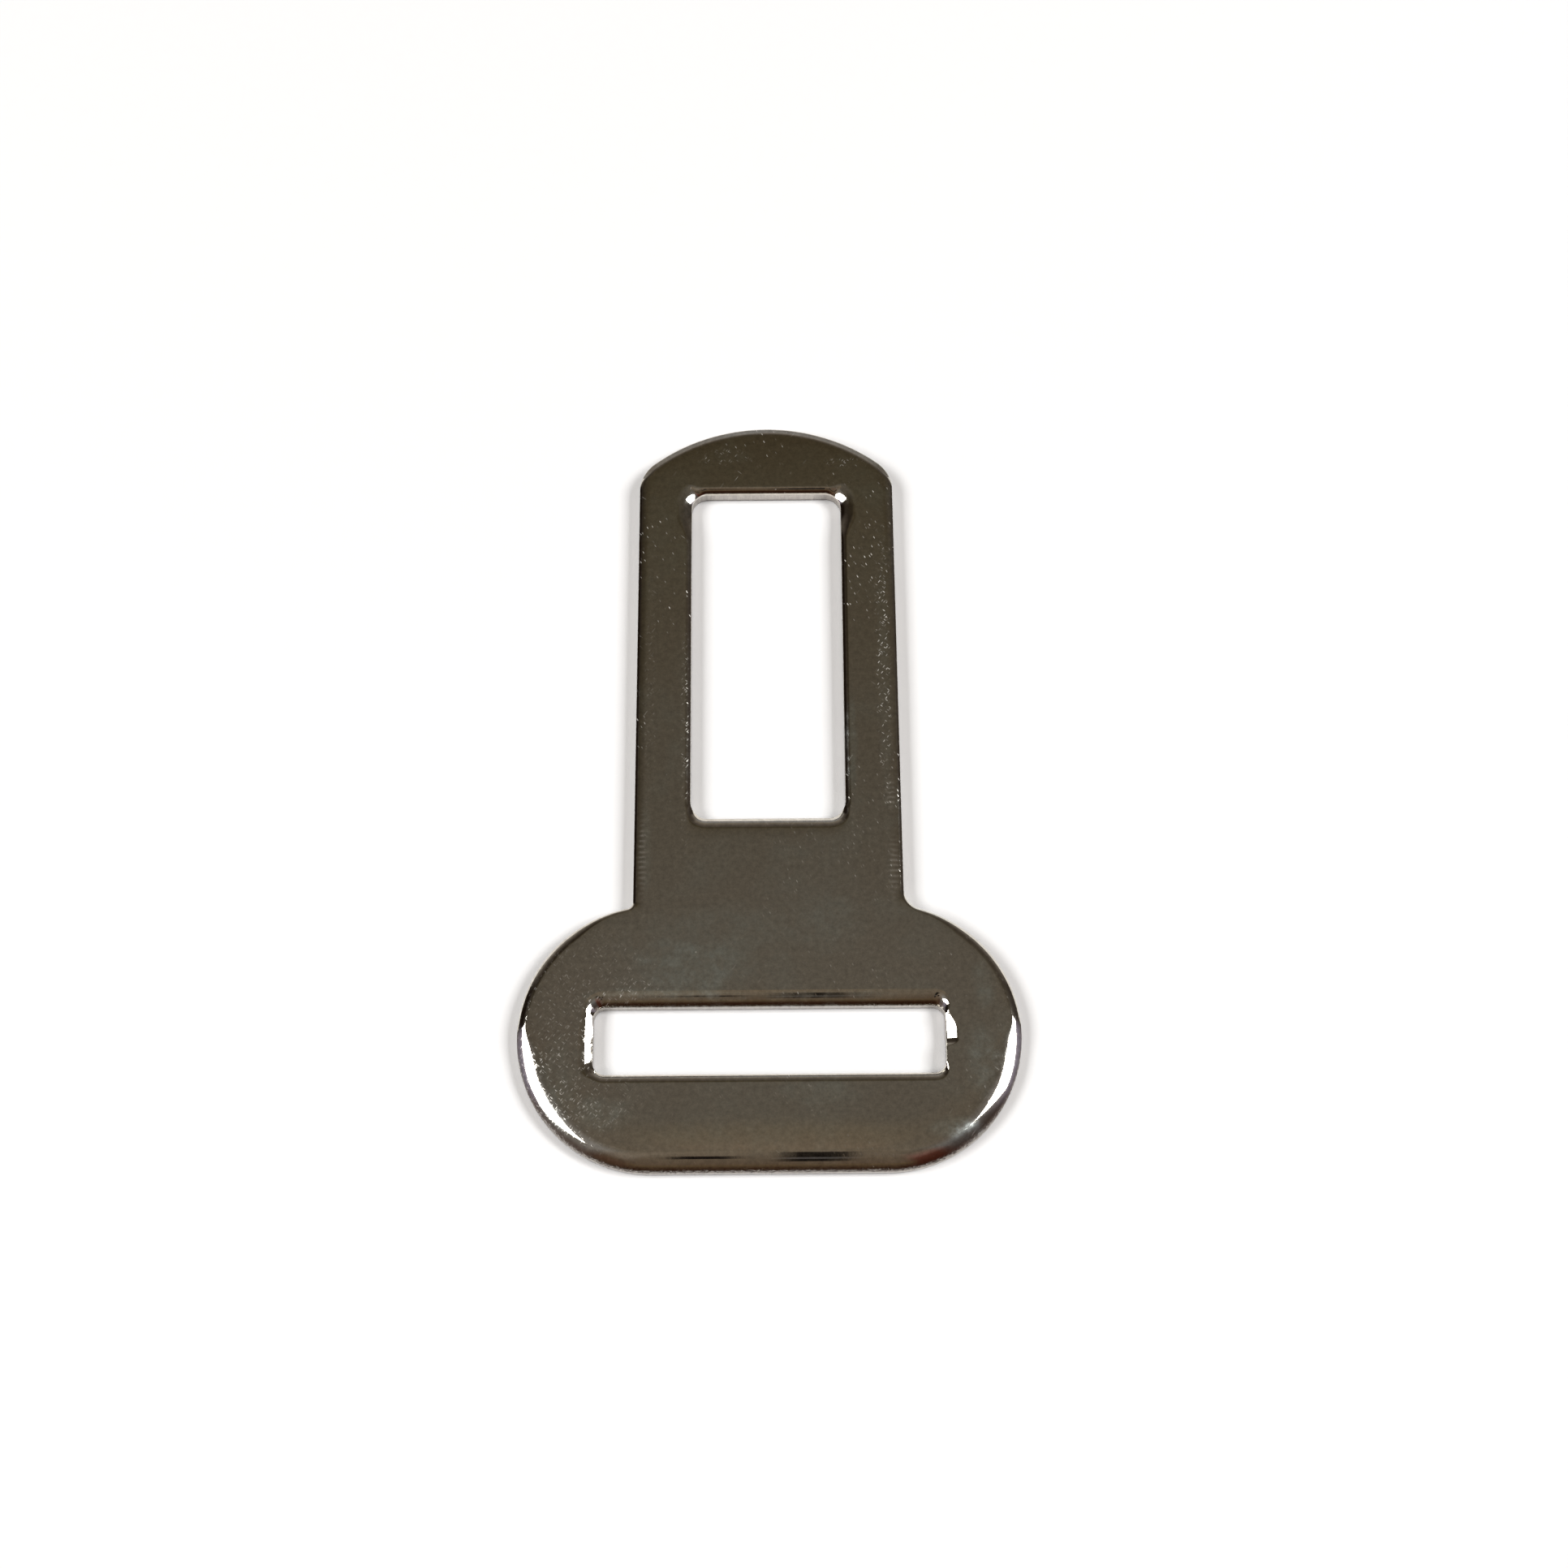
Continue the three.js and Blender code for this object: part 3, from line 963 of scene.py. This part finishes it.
def make_room():
    """The surroundings as a soft gradient: dim overhead, paler beyond, brown on the near side."""
    world = bpy.data.worlds.new("room")
    world.use_nodes = True
    tree = world.node_tree
    tree.nodes.clear()
    direction = add(tree, "ShaderNodeTexCoord").outputs["Generated"]
    axes = add(tree, "ShaderNodeSeparateXYZ", {0: direction})
    elevation = maths(tree, "ARCSINE", axes.outputs["Z"])
    height = maths(tree, "MULTIPLY", elevation, 2 / math.pi)
    level = maths(tree, "MAXIMUM", maths(tree, "COSINE", elevation), LEAST_LEVEL)
    beyond = maths(tree, "DIVIDE", axes.outputs["Y"], level)
    right = rise(tree, maths(tree, "DIVIDE", axes.outputs["X"], level), *ROOM_SIDES)
    colour = ramp(tree, height, ROOM_NEAR)
    for low, high, left_stops, right_stops in ROOM:
        part = ramp(tree, height, left_stops)
        if right_stops is not left_stops:
            part = mix_colour(tree, right, part, ramp(tree, height, right_stops))
        colour = mix_colour(tree, rise(tree, beyond, low, high), colour, part)
    background = add(tree, "ShaderNodeBackground", {"Color": colour, "Strength": 1.0})
    add(tree, "ShaderNodeOutputWorld", {"Surface": background.outputs[0]})
    bpy.context.scene.world = world


# Camera: it looks down at the plate from the webbing end, a little turned
VIEW_TARGET = Vector((0.00134, 0.00025, 0))
VIEW_TILT = math.radians(18.5)
VIEW_TURN = -0.0078
VIEW_DISTANCE = 0.198
FOCAL_LENGTH = 54.6
CLIP_START = 0.01


def make_camera():
    """The camera at the reference viewing angle."""
    data = bpy.data.cameras.new("camera")
    data.lens = FOCAL_LENGTH
    data.clip_start = CLIP_START
    camera = bpy.data.objects.new("camera", data)
    turn = Matrix.Rotation(VIEW_TURN, 4, "Z")
    tilt = Matrix.Rotation(VIEW_TILT, 4, "X")
    back_off = Matrix.Translation((0, 0, VIEW_DISTANCE))
    camera.matrix_world = Matrix.Translation(VIEW_TARGET) @ turn @ tilt @ back_off
    bpy.context.scene.collection.objects.link(camera)
    bpy.context.scene.camera = camera


# Dark cards beside the lens, that the rolled edges mirror as short dark streaks: middle and size in
# metres across the view, and colour
LENS_CARDS = (
    ("lens_card_upper", (0.0060, -0.0140), (0.0150, 0.062), (0.009, 0.007, 0.006)),
    ("lens_card_gap", (0.0060, -0.0550), (0.0150, 0.020), (0.082, 0.078, 0.080)),
    ("lens_card_lower", (0.0060, -0.0820), (0.0150, 0.034), (0.010, 0.008, 0.007)),
    ("lens_card_left", (-0.0120, -0.0430), (0.0145, 0.032), (0.012, 0.009, 0.008)),
)
LENS_CARD_GAP = 0.004
# Half the share of a card's width that is full; from there it fades to its sides
LENS_CARD_CORE = 0.22


def make_lens_cards():
    """Small dark cards just behind the lens, square to the view."""
    camera = bpy.context.scene.camera
    for name, (x, y), (width, height), colour in LENS_CARDS:
        material = bpy.data.materials.new(name)
        material.use_nodes = True
        tree = material.node_tree
        tree.nodes.clear()
        glow = add(tree, "ShaderNodeEmission", {"Color": (*colour, 1), "Strength": 1.0})
        place = add(tree, "ShaderNodeTexCoord").outputs["Generated"]
        across = add(tree, "ShaderNodeSeparateXYZ", {0: place}).outputs["X"]
        off_middle = maths(tree, "ABSOLUTE", maths(tree, "SUBTRACT", across, 0.5))
        shown = rise(tree, off_middle, 0.5, LENS_CARD_CORE)
        clear = add(tree, "ShaderNodeBsdfTransparent").outputs[0]
        surface = add(tree, "ShaderNodeMixShader", {0: shown, 1: clear, 2: glow.outputs[0]})
        add(tree, "ShaderNodeOutputMaterial", {"Surface": surface.outputs[0]})
        left, right = x - width / 2, x + width / 2
        low, high = y - height / 2, y + height / 2
        mesh = bpy.data.meshes.new(name)
        corners = [(left, low, 0), (right, low, 0), (right, high, 0), (left, high, 0)]
        mesh.from_pydata(corners, [], [(0, 1, 2, 3)])
        mesh.materials.append(material)
        card = bpy.data.objects.new(name, mesh)
        card.matrix_world = camera.matrix_world @ Matrix.Translation((0, 0, LENS_CARD_GAP))
        bpy.context.scene.collection.objects.link(card)


bpy.context.scene.view_settings.view_transform = "Standard"
make_camera()
make_lens_cards()
make_room()
make_softboxes()
make_floor()

plate = make_plate(bright_nickel())
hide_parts("tongue_plate")
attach(plate, "root")
